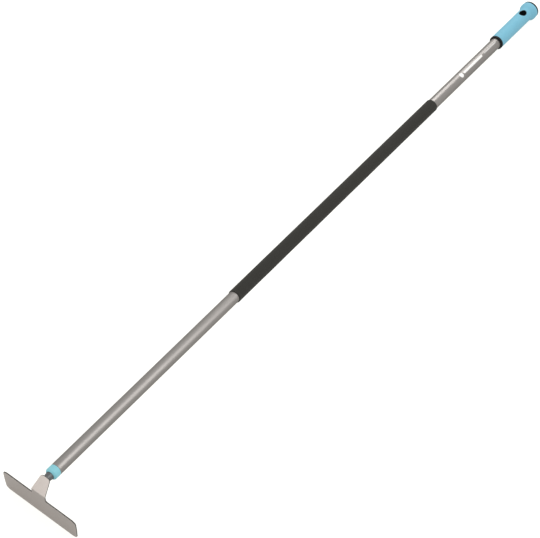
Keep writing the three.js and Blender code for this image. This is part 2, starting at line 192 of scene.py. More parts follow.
def mark_edges(mesh, sharpest=math.radians(9), widest=0.0005):
    """Stores where a piece has convex edges: 1 in the corners of the narrow faces along them, 0 elsewhere."""
    form = bmesh.new()
    form.from_mesh(mesh)
    marks = mesh.attributes.new("edge", "FLOAT", "CORNER")
    convex = set()
    for edge in form.edges:
        if len(edge.link_faces) == 2 and edge.calc_face_angle_signed(0) > sharpest:
            convex.update(edge.verts)
    for face, polygon in zip(form.faces, mesh.polygons):
        if 2 * face.calc_area() / face.calc_perimeter() < widest:
            for corner, loop in zip(polygon.loop_indices, face.loops):
                marks.data[corner].value = 1.0 if loop.vert in convex else 0.0
    form.free()


def made_piece(name, form, crease=math.radians(50), lie=laid_down):
    """Makes finished mesh work a piece of the hoe, smooth but for its creases, and lays it down."""
    bmesh.ops.remove_doubles(form, verts=form.verts, dist=1e-6)
    bmesh.ops.recalc_face_normals(form, faces=form.faces)
    for face in form.faces:
        face.smooth = True
    for edge in form.edges:
        edge.smooth = edge.calc_face_angle(0) < crease
    mesh = bpy.data.meshes.new(name)
    form.to_mesh(mesh)
    form.free()
    mark_edges(mesh)
    piece = bpy.data.objects.new(name, mesh)
    bpy.context.scene.collection.objects.link(piece)
    piece.matrix_world = lie
    weighted = piece.modifiers.new("even shading", "WEIGHTED_NORMAL")
    weighted.keep_sharp = True
    return piece


def is_rim(edge):
    """Whether an edge of the blank is where one of its flats turns down into its sheared side."""
    level = abs(edge.verts[0].co.z - edge.verts[1].co.z) < 1e-6
    return level and edge.calc_face_angle(0) > math.radians(60)


blank = bmesh.new()
outer_face = [blank.verts.new((x, y, 0)) for x, y in head_blank()]
inner_face = [blank.verts.new((x, y, plate_thickness)) for x, y in head_blank()]
blank.faces.new(outer_face[::-1])
blank.faces.new(inner_face)
join(blank, outer_face, inner_face)
bend_cuts = [half_bend * (1 - 2 * k / bend_steps) for k in range(bend_steps + 1)]
for cut in [*bend_cuts, grind_start]:
    everything = blank.verts[:] + blank.edges[:] + blank.faces[:]
    bmesh.ops.bisect_plane(blank, geom=everything, plane_co=(0, cut, 0), plane_no=(0, 1, 0))
rims = [edge for edge in blank.edges if is_rim(edge)]
bmesh.ops.bevel(blank, geom=rims, offset=burr_off, segments=3, profile=0.5, affect="EDGES")
blank.normal_update()
# The sheared sides take their own darker steel: partly their rougher sheared finish, partly painted shade.
for face in blank.faces:
    face.material_index = sheared_and_shaded_slot if abs(face.normal.z) < 0.6 else flat_slot
for vertex in blank.verts:
    vertex.co = bent(*vertex.co)
hoe_head = made_piece("hoe_head", blank, crease=math.radians(12))


def tint(red, green, blue):
    """A paint-chart colour, 0 to 255 each, as the linear colour that a shader takes."""
    return tuple(((c / 255 + 0.055) / 1.055) ** 2.4 for c in (red, green, blue)) + (1,)


def feed(tree, node, inputs):
    """Sets a node's sockets, each to a value or from another node's socket."""
    for socket, value in inputs.items():
        if isinstance(value, bpy.types.NodeSocket):
            tree.links.new(value, node.inputs[socket])
        else:
            node.inputs[socket].default_value = value


def add(tree, kind, inputs=None, **settings):
    """Adds a node with its settings and its sockets filled in."""
    node = tree.nodes.new("ShaderNode" + kind)
    for setting, value in settings.items():
        setattr(node, setting, value)
    feed(tree, node, inputs or {})
    return node


def mixed(tree, share, first, second):
    """The colour that goes from the first to the second as the share goes from 0 to 1."""
    return add(tree, "Mix", {0: share, 6: first, 7: second}, data_type="RGBA").outputs[2]


def maths(tree, operation, first, second):
    """The result of one sum on two values."""
    return add(tree, "Math", {0: first, 1: second}, operation=operation).outputs[0]


def new_effect(name, takes, gives):
    """An empty shader node group with its named sockets, and its input and output nodes."""
    group = bpy.data.node_groups.new(name, "ShaderNodeTree")
    for socket, kind, value in takes:
        made = group.interface.new_socket(socket, in_out="INPUT", socket_type="NodeSocket" + kind)
        made.default_value = value
    for socket, kind in gives:
        group.interface.new_socket(socket, in_out="OUTPUT", socket_type="NodeSocket" + kind)
    return group, group.nodes.new("NodeGroupInput"), group.nodes.new("NodeGroupOutput")


def effect(tree, group, inputs):
    """Places a shared effect in a material."""
    node = tree.nodes.new("ShaderNodeGroup")
    node.node_tree = group
    feed(tree, node, inputs)
    return node


def new_finish(name):
    """A new material: itself, its node tree, its shader and the place on the piece that patterns follow."""
    material = bpy.data.materials.new(name)
    material.use_nodes = True
    tree = material.node_tree
    return material, tree, tree.nodes["Principled BSDF"], add(tree, "TexCoord").outputs["Object"]


# Surface tooth: the fine relief of a rolled, drawn, moulded or foamed surface, even or stretched one way.
tooth, tooth_in, tooth_out = new_effect(
    "surface tooth",
    [("Place", "Vector", (0, 0, 0)), ("Stretch", "Vector", (1, 1, 1)), ("Cells per metre", "Float", 1000.0),
     ("Relief", "Float", 0.0001), ("Detail", "Float", 3.0)],
    [("Shade", "Float"), ("Normal", "Vector")],
)
stretched = add(tooth, "VectorMath", {0: tooth_in.outputs["Place"], 1: tooth_in.outputs["Stretch"]},
                operation="MULTIPLY")
speckle = add(tooth, "TexNoise", {
    "Vector": stretched.outputs[0], "Scale": tooth_in.outputs["Cells per metre"],
    "Detail": tooth_in.outputs["Detail"], "Roughness": 0.6,
})
relief = add(tooth, "Bump", {"Height": speckle.outputs[0], "Distance": tooth_in.outputs["Relief"]})
feed(tooth, tooth_out, {"Shade": speckle.outputs[0], "Normal": relief.outputs[0]})

# Handling: broad, faint smears where a surface was wiped and touched, between a low and a high value.
handling, handling_in, handling_out = new_effect(
    "handling",
    [("Place", "Vector", (0, 0, 0)), ("Smears per metre", "Float", 25.0), ("Low", "Float", 0.4),
     ("High", "Float", 0.5)],
    [("Value", "Float"), ("Smear", "Float")],
)
smear = add(handling, "TexNoise", {
    "Vector": handling_in.outputs["Place"], "Scale": handling_in.outputs["Smears per metre"],
    "Detail": 5.0, "Roughness": 0.55, "Distortion": 0.6,
})
spread = add(handling, "MapRange", {
    "Value": smear.outputs[0], "From Min": 0.3, "From Max": 0.7,
    "To Min": handling_in.outputs["Low"], "To Max": handling_in.outputs["High"],
})
feed(handling, handling_out, {"Value": spread.outputs[0], "Smear": smear.outputs[0]})

# Rubbed edge: a broken mask along a piece's outer edges, where its finish is thinnest and wears first.
rubbing, rubbing_in, rubbing_out = new_effect(
    "rubbed edge",
    [("Place", "Vector", (0, 0, 0)), ("Nicks per metre", "Float", 180.0), ("Amount", "Float", 0.5)],
    [("Mask", "Float")],
)
on_edge = add(rubbing, "Attribute", attribute_name="edge")
nicks = add(rubbing, "TexNoise", {
    "Vector": rubbing_in.outputs["Place"], "Scale": rubbing_in.outputs["Nicks per metre"], "Detail": 4.0,
})
broken = add(rubbing, "MapRange", {"Value": nicks.outputs[0], "From Min": 0.42, "From Max": 0.62})
worn = maths(rubbing, "MULTIPLY", on_edge.outputs["Fac"], broken.outputs[0])
feed(rubbing, rubbing_out, {"Mask": maths(rubbing, "MULTIPLY", worn, rubbing_in.outputs["Amount"])})

head_finish, tree, shader, place = new_finish("lacquered steel")
rolled = effect(tree, tooth, {
    "Place": place, "Stretch": (1.0, 0.25, 1.0), "Cells per metre": 2200.0, "Relief": 0.000003, "Detail": 4.0,
})
wiped = effect(tree, handling, {"Place": place, "Smears per metre": 38.0, "Low": 0.42, "High": 0.47})
rubbed = effect(tree, rubbing, {"Place": place, "Nicks per metre": 260.0, "Amount": 0.55})
sheet = mixed(tree, rolled.outputs["Shade"], tint(177, 169, 164), tint(187, 179, 174))
sheet = mixed(tree, wiped.outputs["Smear"], sheet, tint(182, 174, 169))
feed(tree, shader, {
    "Base Color": mixed(tree, rubbed.outputs["Mask"], sheet, tint(205, 203, 199)),
    "Metallic": 0.8,
    "Roughness": wiped.outputs["Value"],
    "Normal": rolled.outputs["Normal"],
})
hoe_head.data.materials.append(head_finish)

# The sheared sides are darker than the faces: partly the duller, rougher sheared steel, partly painted shade
# for the dark line along the plate's edges.
shear_and_shade_finish, tree, shader, place = new_finish("sheared steel with painted shade")
torn = effect(tree, tooth, {"Place": place, "Cells per metre": 2600.0, "Relief": 0.00002})
dulled = effect(tree, handling, {"Place": place, "Smears per metre": 120.0, "Low": 0.6, "High": 0.75})
feed(tree, shader, {
    "Base Color": mixed(tree, torn.outputs["Shade"], tint(74, 71, 69), tint(98, 95, 92)),
    "Metallic": 0.6,
    "Roughness": dulled.outputs["Value"],
    "Normal": torn.outputs["Normal"],
})
hoe_head.data.materials.append(shear_and_shade_finish)
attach(hoe_head, "root")
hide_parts("hoe_plate")

# ---- Tang, its collar and the weld ----
# A 10 mm steel bar, the tang, carries the head. A turned collar slides over it against the ferrule, is cut
# off at the slant of the neck, and a rippled bead of weld all round it holds head, collar and tang together.
collar_radius = reach("tang_collar")[1].y
collar_end = reach("tang_collar")[1].x
collar_taper = 0.0944
collar_rows = 6
tang_radius = reach("tang_rod")[1].y
weld_size = 0.0017
weld_ripples = 34
weld_root = 0.0003


def ring(form, section, sides, spin=0.0):
    """One ring of corners round X; a section is (place, radius), or gives that for an angle."""
    corners = []
    for k in range(sides):
        angle = spin + 2 * math.pi * k / sides
        place, radius = section(angle) if callable(section) else section
        corners.append(form.verts.new((place, radius * math.cos(angle), radius * math.sin(angle))))
        if radius < 1e-9:
            break
    return corners


def turned(sections, sides=96, closed=False):
    """A body turned about X from its sections in order, closed on itself or from axis to axis."""
    form = bmesh.new()
    rings = [ring(form, section, sides) for section in sections]
    for lower, upper in zip(rings, rings[1:] + rings[:1] * closed):
        join(form, lower, upper)
    return form


def collar_outside(place):
    """The collar's radius: tapering from its shoulder, at 0, down towards the neck."""
    return collar_radius + collar_taper * min(0, place)


def on_neck(radius, angle):
    """How far up the handle the neck's inner face is, at a radius and an angle round the handle."""
    across_neck = neck_in.dot(bend_line) + plate_thickness
    return (across_neck - neck_in.z * radius * math.sin(angle)) / neck_in.x


def collar_foot(angle):
    """Where the collar's outside meets the neck, as (place, radius)."""
    place = 0
    for _ in range(6):
        place = on_neck(collar_outside(place), angle)
    return place, collar_outside(place)


def collar_row(share):
    """A row of the collar's cone that is a share of the way from its slanted foot to its shoulder."""
    def section(angle):
        foot, _ = collar_foot(angle)
        place = foot * (1 - share)
        return place, collar_outside(place)
    return section


collar_sections = [collar_row(k / collar_rows) for k in range(collar_rows)]
collar_sections += softened([
    (-0.002, collar_outside(-0.002), 0),
    (0, collar_radius, 0.0008),
    (collar_end, collar_radius, 0.0006),
    (collar_end, tang_radius, 0),
])
collar_sections.append(lambda angle: (on_neck(tang_radius, angle), tang_radius))
collar = made_piece("collar", turned(collar_sections, closed=True))

collar_finish, tree, shader, place = new_finish("blackened steel")
turning = effect(tree, tooth, {
    "Place": place, "Stretch": (1.0, 0.06, 0.06), "Cells per metre": 2600.0, "Relief": 0.00002,
})
oiled = effect(tree, handling, {"Place": place, "Smears per metre": 90.0, "Low": 0.34, "High": 0.5})
rubbed = effect(tree, rubbing, {"Place": place, "Nicks per metre": 420.0, "Amount": 0.5})
skin_colour = mixed(tree, turning.outputs["Shade"], tint(96, 98, 100), tint(120, 122, 123))
feed(tree, shader, {
    "Base Color": mixed(tree, rubbed.outputs["Mask"], skin_colour, tint(150, 150, 148)),
    "Metallic": 0.85,
    "Roughness": oiled.outputs["Value"],
    "Normal": turning.outputs["Normal"],
})
collar.data.materials.append(collar_finish)
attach(collar, "root")
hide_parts("tang_collar")


def weld_row(swing, sunk=0.0):
    """A row along the bead: swing runs from the collar's wall, 0, over the crown to the neck plate."""
    def section(angle):
        ripple = 0.10 * math.sin(weld_ripples * angle + 1.3 * math.sin(3 * angle))
        size = weld_size * (1 + ripple + 0.06 * math.sin(5 * angle))
        foot, wall = collar_foot(angle)
        out = size * math.sin(swing) - sunk
        return on_neck(wall + out, angle) + size * math.cos(swing), wall + out
    return section


bead_sections = [weld_row(math.radians(15 * k)) for k in range(7)]
bead_sections += [weld_row(math.radians(90), weld_size), weld_row(0, weld_root)]
bead = made_piece("weld", turned(bead_sections, sides=272, closed=True))

weld_finish, tree, shader, place = new_finish("lacquered weld")
scale = effect(tree, tooth, {"Place": place, "Cells per metre": 1900.0, "Relief": 0.00006, "Detail": 5.0})
burnt = effect(tree, handling, {"Place": place, "Smears per metre": 300.0, "Low": 0.38, "High": 0.6})
rubbed = effect(tree, rubbing, {"Place": place, "Nicks per metre": 700.0, "Amount": 0.25})
bead_colour = mixed(tree, burnt.outputs["Smear"], tint(96, 93, 90), tint(140, 136, 131))
feed(tree, shader, {
    "Base Color": mixed(tree, rubbed.outputs["Mask"], bead_colour, tint(185, 182, 178)),
    "Metallic": 0.8,
    "Roughness": burnt.outputs["Value"],
    "Normal": scale.outputs["Normal"],
})
bead.data.materials.append(weld_finish)
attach(bead, "root")
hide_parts("weld_bead")

tang_finish, tree, shader, place = new_finish("bright drawn bar")
drawn = effect(tree, tooth, {
    "Place": place, "Stretch": (0.02, 1.0, 1.0), "Cells per metre": 3000.0, "Relief": 0.00001,
})
feed(tree, shader, {
    "Base Color": mixed(tree, drawn.outputs["Shade"], tint(135, 134, 132), tint(178, 177, 175)),
    "Metallic": 1.0,
    "Roughness": effect(tree, handling, {"Place": place, "Low": 0.28, "High": 0.42}).outputs["Value"],
    "Normal": drawn.outputs["Normal"],
})
frame["nodes"]["tang_rod"].data.materials.clear()
frame["nodes"]["tang_rod"].data.materials.append(tang_finish)

# ---- Ferrule ----
# A turquoise moulded nylon nose: its chamfered head closes the tube's mouth, and its long spigot, hidden in
# the tube, holds the tang. The collar is seated in a shallow counterbore in its face.
ferrule_low, ferrule_high = reach("ferrule")
ferrule_head = reach("handle_tube")[0].x - 0.0003
ferrule_radius = ferrule_high.y
nose_radius = 0.0090
chamfer_end = 0.0035
spigot_radius = 0.0105
seat_radius = 0.0083
seat_depth = 0.0095
ferrule_sections = softened([
    (ferrule_low.x, seat_radius, 0.00025),
    (ferrule_low.x, nose_radius, 0.0005),
    (chamfer_end, ferrule_radius, 0.0011),
    (chamfer_end + 0.0025, ferrule_radius, 0),
    (ferrule_head - 0.0012, ferrule_radius, 0),
    (ferrule_head, ferrule_radius, 0.0004),
    (ferrule_head, spigot_radius, 0),
    (ferrule_high.x, spigot_radius, 0.0009),
    (ferrule_high.x, tang_radius, 0.0003),
    (seat_depth, tang_radius, 0),
    (seat_depth, seat_radius, 0),
])
ferrule = made_piece("ferrule_nose", turned(ferrule_sections, sides=128, closed=True))

ferrule_finish, tree, shader, place = new_finish("turquoise nylon")
spark = effect(tree, tooth, {"Place": place, "Cells per metre": 2600.0, "Relief": 0.00004, "Detail": 2.0})
flow = effect(tree, handling, {"Place": place, "Smears per metre": 70.0, "Low": 0.42, "High": 0.52})
rubbed = effect(tree, rubbing, {"Place": place, "Nicks per metre": 350.0, "Amount": 0.3})
nylon = mixed(tree, flow.outputs["Smear"], tint(126, 200, 214), tint(146, 212, 223))
nylon = mixed(tree, spark.outputs["Shade"], nylon, tint(136, 204, 216))
feed(tree, shader, {
    "Base Color": mixed(tree, rubbed.outputs["Mask"], nylon, tint(168, 218, 228)),
    "Roughness": flow.outputs["Value"],
    "Normal": spark.outputs["Normal"],
})
ferrule.data.materials.append(ferrule_finish)
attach(ferrule, "root")
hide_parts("ferrule")

# ---- Tang plug ----
# A fluted plug of natural nylon pressed over the tang's inner end, which centres it in the tube. It is shut
# inside the handle, so the CAD node is kept as it is.
plug_finish, tree, shader, place = new_finish("natural nylon")
milky = effect(tree, tooth, {"Place": place, "Cells per metre": 1200.0, "Relief": 0.00003})
feed(tree, shader, {
    "Base Color": mixed(tree, milky.outputs["Shade"], tint(205, 202, 190), tint(226, 223, 212)),
    "Roughness": effect(tree, handling, {"Place": place, "Low": 0.45, "High": 0.6}).outputs["Value"],
    "Normal": milky.outputs["Normal"],
})
frame["nodes"]["tang_plug"].data.materials.clear()
frame["nodes"]["tang_plug"].data.materials.append(plug_finish)

# ---- Handle tube ----
# A 24 mm tube of anodised aluminium, drawn, so its grain runs lengthwise. A drive pin passes through one
# hole on its underside. A plain white dot, a bar and a fainter line are printed on its top below the grip.
tube_low, tube_high = reach("handle_tube")
tube_radius = tube_high.y
tube_bore = tube_radius - 0.0012
tube_sides = 128
tube_lip = 0.0004
pin_low, pin_high = reach("head_pin")
pin_place = (pin_low.x + pin_high.x) / 2
pin_hole = 0.0023
pin_window = 6
underside = math.radians(-90)
prints = {
    "dot": {"start": 1.3825, "end": 1.3935, "half_height": 0.0055, "cover": 0.95},
    "bar": {"start": 1.397, "end": 1.472, "half_height": 0.0024, "cover": 0.9},
    "line": {"start": 1.481, "end": 1.529, "half_height": 0.0012, "cover": 0.4},
}
print_side = -0.0020
print_blur = 0.00015


def spaced(start, end, step):
    """Places from start to end, evenly spaced, about a step apart."""
    count = max(1, round((end - start) / step))
    return [start + (end - start) * k / count for k in range(count + 1)]


def skin(form, places, radius_at, sides, hole_place, hole_radius, hole_angles, window, round_over=0.0,
         stretch=1.0):
    """A turned skin with holes bored through it, longer than wide by the stretch.

    It gives its first ring, its last ring and the holes' rims. Each hole is fitted into a window of the
    skin, that many columns either side of it, and its edge can be rounded over.
    """
    spin = hole_angles[0]
    rows = [ring(form, (place, radius_at(place)), sides, spin) for place in places]
    margin = hole_radius * stretch + round_over + 0.0025
    low = max(i for i, place in enumerate(places) if place <= hole_place - margin)
    high = min(i for i, place in enumerate(places) if place >= hole_place + margin)
    centres = [round((angle - spin) / (2 * math.pi) * sides) % sides for angle in hole_angles]
    for i, (lower, upper) in enumerate(zip(rows, rows[1:])):
        for k in range(sides):
            shift = [(k - centre + window) % sides for centre in centres]
            if low <= i < high and min(shift) < 2 * window:
                continue
            form.faces.new((lower[k], lower[(k + 1) % sides], upper[(k + 1) % sides], upper[k]))
    rims = []
    for angle, centre in zip(hole_angles, centres):
        outward = Vector((0, math.cos(angle), math.sin(angle)))
        across = Vector((0, -math.sin(angle), math.cos(angle)))
        frame_loop = [rows[low][(centre + k) % sides] for k in range(-window, window)]
        frame_loop += [rows[i][(centre + window) % sides] for i in range(low, high)]
        frame_loop += [rows[high][(centre + k) % sides] for k in range(window, -window, -1)]
        frame_loop += [rows[i][(centre - window) % sides] for i in range(high, low, -1)]
        flat = [Vector((corner.co.x - hole_place, corner.co.dot(across))) for corner in frame_loop]

        def row(spread, size, sunk):
            corners = []
            for spot in flat:
                rim = Vector((spot.x / stretch, spot.y)).normalized() * size
                off = Vector((rim.x * stretch, rim.y)) * (1 - spread) + spot * spread
                rise = math.sqrt(radius_at(hole_place + off.x) ** 2 - off.y ** 2) - sunk
                place = Vector((hole_place + off.x, 0, 0)) + outward * rise + across * off.y
                corners.append(form.verts.new(place))
            return corners

        loops = [frame_loop] + [row(share, hole_radius + round_over, 0) for share in (0.6, 0.3, 0.1, 0)]
        if round_over:
            for k in range(1, 6):
                turn = math.radians(90) * k / 5
                size = hole_radius + round_over * (1 - math.sin(turn))
                loops.append(row(0, size, round_over * (1 - math.cos(turn))))
        for outer, inner in zip(loops, loops[1:]):
            join(form, outer, inner)
        rims.append(loops[-1])
    return rows[0], rows[-1], rims


tube_form = bmesh.new()
tube_places = spaced(tube_low.x + tube_lip, pin_place - 0.006, 0.004)
tube_places += spaced(pin_place - 0.0045, pin_place + 0.0045, 0.0009)
tube_places += spaced(pin_place + 0.006, tube_high.x - tube_lip, 0.06)
outer_skin, inner_skin = [
    skin(tube_form, tube_places, lambda place: radius, tube_sides, pin_place, pin_hole, [underside],
         pin_window)
    for radius in (tube_radius, tube_bore)
]
join(tube_form, outer_skin[2][0], inner_skin[2][0])
for end, mouth in ((0, tube_low.x), (1, tube_high.x)):
    lip = [outer_skin[end]]
    for radius in (tube_radius - tube_lip, tube_bore):
        lip.append(ring(tube_form, (mouth, radius), tube_sides, underside))
    for outer, inner in zip(lip, lip[1:] + [inner_skin[end]]):
        join(tube_form, outer, inner)
tube = made_piece("tube", tube_form)

tube_finish, tree, shader, place = new_finish("anodised aluminium")
drawn = effect(tree, tooth, {
    "Place": place, "Stretch": (0.012, 1.0, 1.0), "Cells per metre": 2200.0, "Relief": 0.000004,
})
touched = effect(tree, handling, {"Place": place, "Smears per metre": 16.0, "Low": 0.38, "High": 0.44})
metal = mixed(tree, drawn.outputs["Shade"], tint(146, 142, 139), tint(166, 162, 158))
metal = mixed(tree, touched.outputs["Smear"], metal, tint(158, 154, 151))
spot = add(tree, "SeparateXYZ", {0: place})
ink = 0.0
for mark in prints.values():
    middle_place = (mark["start"] + mark["end"]) / 2
    half_length = (mark["end"] - mark["start"]) / 2 - mark["half_height"]
    off_middle = maths(tree, "SUBTRACT", spot.outputs["X"], middle_place)
    past_end = maths(tree, "SUBTRACT", maths(tree, "ABSOLUTE", off_middle, 0.0), half_length)
    past_end = maths(tree, "MAXIMUM", past_end, 0.0)
    aside = maths(tree, "SUBTRACT", spot.outputs["Y"], print_side)
    from_line = add(tree, "CombineXYZ", {0: past_end, 1: aside})
    far = add(tree, "VectorMath", {0: from_line.outputs[0]}, operation="LENGTH")
    inked = add(tree, "MapRange", {
        "Value": far.outputs["Value"], "From Min": mark["half_height"] - print_blur,
        "From Max": mark["half_height"] + print_blur, "To Min": mark["cover"], "To Max": 0.0,
    })
    ink = maths(tree, "MAXIMUM", ink, inked.outputs[0])
on_top = maths(tree, "GREATER_THAN", spot.outputs["Z"], 0.0)
ink = maths(tree, "MULTIPLY", ink, on_top)
bare = maths(tree, "SUBTRACT", 1.0, ink)
feed(tree, shader, {
    "Base Color": mixed(tree, ink, metal, tint(246, 245, 243)),
    "Metallic": bare,
    "Specular Tint": tint(190, 190, 190),
    "Roughness": touched.outputs["Value"],
    "Normal": drawn.outputs["Normal"],
})
tube.data.materials.append(tube_finish)
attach(tube, "root")
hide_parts("handle_tube")

# ---- Drive pin ----
# A zinc-plated steel pin driven up through the tube and ferrule into the tang, which it locks. Its low domed
# head is set down on the round of the tube.
pin_head = 0.004
pin_shank = 0.002
pin_chamfer = 0.0004
pin_point = -pin_high.z
pin_crown = -pin_low.z
dome_rows = 10


def on_tube(radius, angle):
    """How far from the handle's middle the tube's surface is, at a radius and an angle round the pin."""
    return math.sqrt(tube_radius ** 2 - (radius * math.cos(angle)) ** 2)


def dome_row(share):
    """A row of the domed head, from its skirt, 0, to its crown, 1."""
    def section(angle):
        low = on_tube(pin_head, angle)
        swing = math.radians(90) * share
        return low + (pin_crown - low) * math.sin(swing) ** 0.9, pin_head * math.cos(swing)
    return section


pin_sections = [(pin_point, 0), (pin_point, pin_shank - pin_chamfer), (pin_point + pin_chamfer, pin_shank)]
pin_sections.append(lambda angle: (on_tube(pin_shank, angle), pin_shank))
pin_sections += [dome_row(k / dome_rows) for k in range(dome_rows)] + [(pin_crown, 0)]
pin_lie = laid_down @ Matrix.Translation((pin_place, 0, 0)) @ Matrix.Rotation(math.radians(90), 4, "Y")
pin = made_piece("pin", turned(pin_sections, sides=64), lie=pin_lie)

pin_finish, tree, shader, place = new_finish("zinc plate")
spangle = effect(tree, tooth, {"Place": place, "Cells per metre": 1500.0, "Relief": 0.00002, "Detail": 1.0})
dulled = effect(tree, handling, {"Place": place, "Smears per metre": 240.0, "Low": 0.26, "High": 0.42})
rubbed = effect(tree, rubbing, {"Place": place, "Nicks per metre": 800.0, "Amount": 0.4})
zinc = mixed(tree, spangle.outputs["Shade"], tint(158, 160, 163), tint(190, 191, 192))
feed(tree, shader, {
    "Base Color": mixed(tree, rubbed.outputs["Mask"], zinc, tint(215, 214, 210)),
    "Metallic": 1.0,
    "Roughness": dulled.outputs["Value"],
    "Normal": spangle.outputs["Normal"],
})
pin.data.materials.append(pin_finish)
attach(pin, "root")
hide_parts("head_pin")

# ---- Foam sleeve ----
# A sleeve of black closed-cell rubber foam pushed on to the middle of the handle for the leading hand. It is
# cut square at its lower end and sanded round at its upper end, and its skin is never quite even.
sleeve_low, sleeve_high = reach("foam_sleeve")
sleeve_radius = sleeve_high.y
slow_swell = 0.00012
fine_swell = 0.00006
sleeve_places = spaced(sleeve_low.x + 0.002, sleeve_high.x - 0.003, 0.004)
sleeve_corners = [
    (sleeve_low.x, tube_radius, 0),
    (sleeve_low.x, sleeve_radius, 0.0004),
    *[(place, sleeve_radius, 0) for place in sleeve_places],
    (sleeve_high.x, sleeve_radius, 0.0012),
    (sleeve_high.x, tube_radius, 0),
]
sleeve_form = turned(softened(sleeve_corners), closed=True)
for vertex in sleeve_form.verts:
    outward = Vector((0, vertex.co.y, vertex.co.z))
    if outward.length > tube_radius + 0.0008:
        swell = slow_swell * (noise.noise(vertex.co * 32) - 1) + fine_swell * noise.noise(vertex.co * 260)
        vertex.co += outward.normalized() * swell
sleeve = made_piece("sleeve", sleeve_form)

foam_finish, tree, shader, place = new_finish("rubber foam")
pores = effect(tree, tooth, {"Place": place, "Cells per metre": 900.0, "Relief": 0.00035, "Detail": 5.0})
cells = add(tree, "TexVoronoi", {"Vector": place, "Scale": 1300.0, "Randomness": 1.0})
pits = add(tree, "MapRange", {"Value": cells.outputs["Distance"], "From Min": 0.05, "From Max": 0.4})
pitted = add(tree, "Bump", {"Height": pits.outputs[0], "Distance": 0.0002, "Normal": pores.outputs["Normal"]})
dusted = effect(tree, handling, {"Place": place, "Smears per metre": 45.0, "Low": 0.78, "High": 0.92})
rubber = mixed(tree, pores.outputs["Shade"], tint(38, 37, 34), tint(52, 51, 47))
rubber = mixed(tree, dusted.outputs["Smear"], rubber, tint(50, 49, 45))
feed(tree, shader, {
    "Base Color": rubber,
    "Roughness": dusted.outputs["Value"],
    "Specular IOR Level": 0.25,
    "Sheen Weight": 0.05,
    "Sheen Roughness": 0.5,
    "Normal": pitted.outputs[0],
})
sleeve.data.materials.append(foam_finish)
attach(sleeve, "root")
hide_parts("foam_sleeve")

# ---- Tube end plug ----
# A moulded plug that closes the tube's cut end and beds it in the grip. It is shut inside the grip, so the
# CAD node is kept as it is.
black_finish, tree, shader, place = new_finish("black plastic")
sanded = effect(tree, tooth, {"Place": place, "Cells per metre": 2400.0, "Relief": 0.00004, "Detail": 2.0})
polished = effect(tree, handling, {"Place": place, "Smears per metre": 60.0, "Low": 0.4, "High": 0.52})
rubbed = effect(tree, rubbing, {"Place": place, "Nicks per metre": 420.0, "Amount": 0.35})
black = mixed(tree, sanded.outputs["Shade"], tint(12, 18, 20), tint(22, 29, 31))
feed(tree, shader, {
    "Base Color": mixed(tree, rubbed.outputs["Mask"], black, tint(42, 48, 50)),
    "Roughness": polished.outputs["Value"],
    "Specular IOR Level": 0.18,
    "Normal": sanded.outputs["Normal"],
})
frame["nodes"]["tube_end_plug"].data.materials.clear()
frame["nodes"]["tube_end_plug"].data.materials.append(black_finish)

# ---- Grip core ----
# The black polypropylene body of the grip, which slips over the tube's end. Its flange shows as a black
# collar below the soft skin, and its wall shows at the flared end; the hanging hole passes through it.
core_low, core_high = reach("grip_core")
over_low, over_high = reach("grip_overmould")
cap_low, cap_high = reach("grip_end_cap")
flange_end = over_low.x - 0.0003
flange_radius = 0.0155
grip_radius = 0.0153
flare_radius = over_high.y
rim_radius = cap_high.y
cap_thickness = 0.0044
flare_start = 1.664
flare_peak = 1.678
skin_thickness = 0.0015
socket_radius = 0.0123
socket_end = 1.6266
pocket_radius = 0.011
pocket_start = 1.664
hole_place = 1.650
hole_radius = 0.0079
hole_stretch = 1.3
hole_angles = [math.radians(83), math.radians(263)]
hole_reach = 0.0155
hole_window = 16
grip_sides = 144


def grip_outside(place):
    """The grip's radius: straight, swelling to the flare, then rolling over to the end rim."""
    if place <= flare_start:
        return grip_radius
    if place <= flare_peak:
        share = (place - flare_start) / (flare_peak - flare_start)
        return grip_radius + (flare_radius - grip_radius) * (1 - math.cos(math.pi * share)) / 2
    share = min(1, (place - flare_peak) / (cap_high.x - cap_thickness - flare_peak))
    return rim_radius + (flare_radius - rim_radius) * math.sqrt(1 - share ** 2)


def core_outside(place):
    """The core's radius under the soft skin."""
    return grip_outside(place) - skin_thickness


def close_end(form, sections, before, after):
    """Closes an end of the grip with rings at these sections, between the rings that it already has."""
    rings = before + [ring(form, section, grip_sides, hole_angles[0]) for section in sections] + after
    for lower, upper in zip(rings, rings[1:]):
        join(form, lower, upper)


grip_places = spaced(over_low.x + 0.001, hole_place - hole_reach - 0.0015, 0.008)
grip_places += spaced(hole_place - hole_reach, hole_place + hole_reach, 0.00125)
grip_places += spaced(hole_place + hole_reach + 0.0012, over_high.x - 0.0006, 0.0012)
core_form = bmesh.new()
first, last, rims = skin(core_form, grip_places, core_outside, grip_sides, hole_place, hole_radius,
                         hole_angles, hole_window, stretch=hole_stretch)
bored = Vector((0, math.cos(hole_angles[0]), math.sin(hole_angles[0])))
opposite = [min(rims[1], key=lambda low: (low.co - top.co).cross(bored).length) for top in rims[0]]
join(core_form, rims[0], opposite)
flange = softened([
    (core_low.x, socket_radius, 0.0003),
    (core_low.x, flange_radius, 0.0009),
    (flange_end, flange_radius, 0.0007),
    (flange_end, core_outside(flange_end), 0),
])
close_end(core_form, [(socket_end, 0), (socket_end, socket_radius)] + flange, before=[], after=[first])
pocket = [
    (core_high.x, core_outside(core_high.x)),
    (core_high.x, pocket_radius),
    (pocket_start, pocket_radius),
    (pocket_start, 0),
]
close_end(core_form, pocket, before=[last], after=[])
core = made_piece("core", core_form)
core.data.materials.append(black_finish)
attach(core, "root")
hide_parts("grip_core")

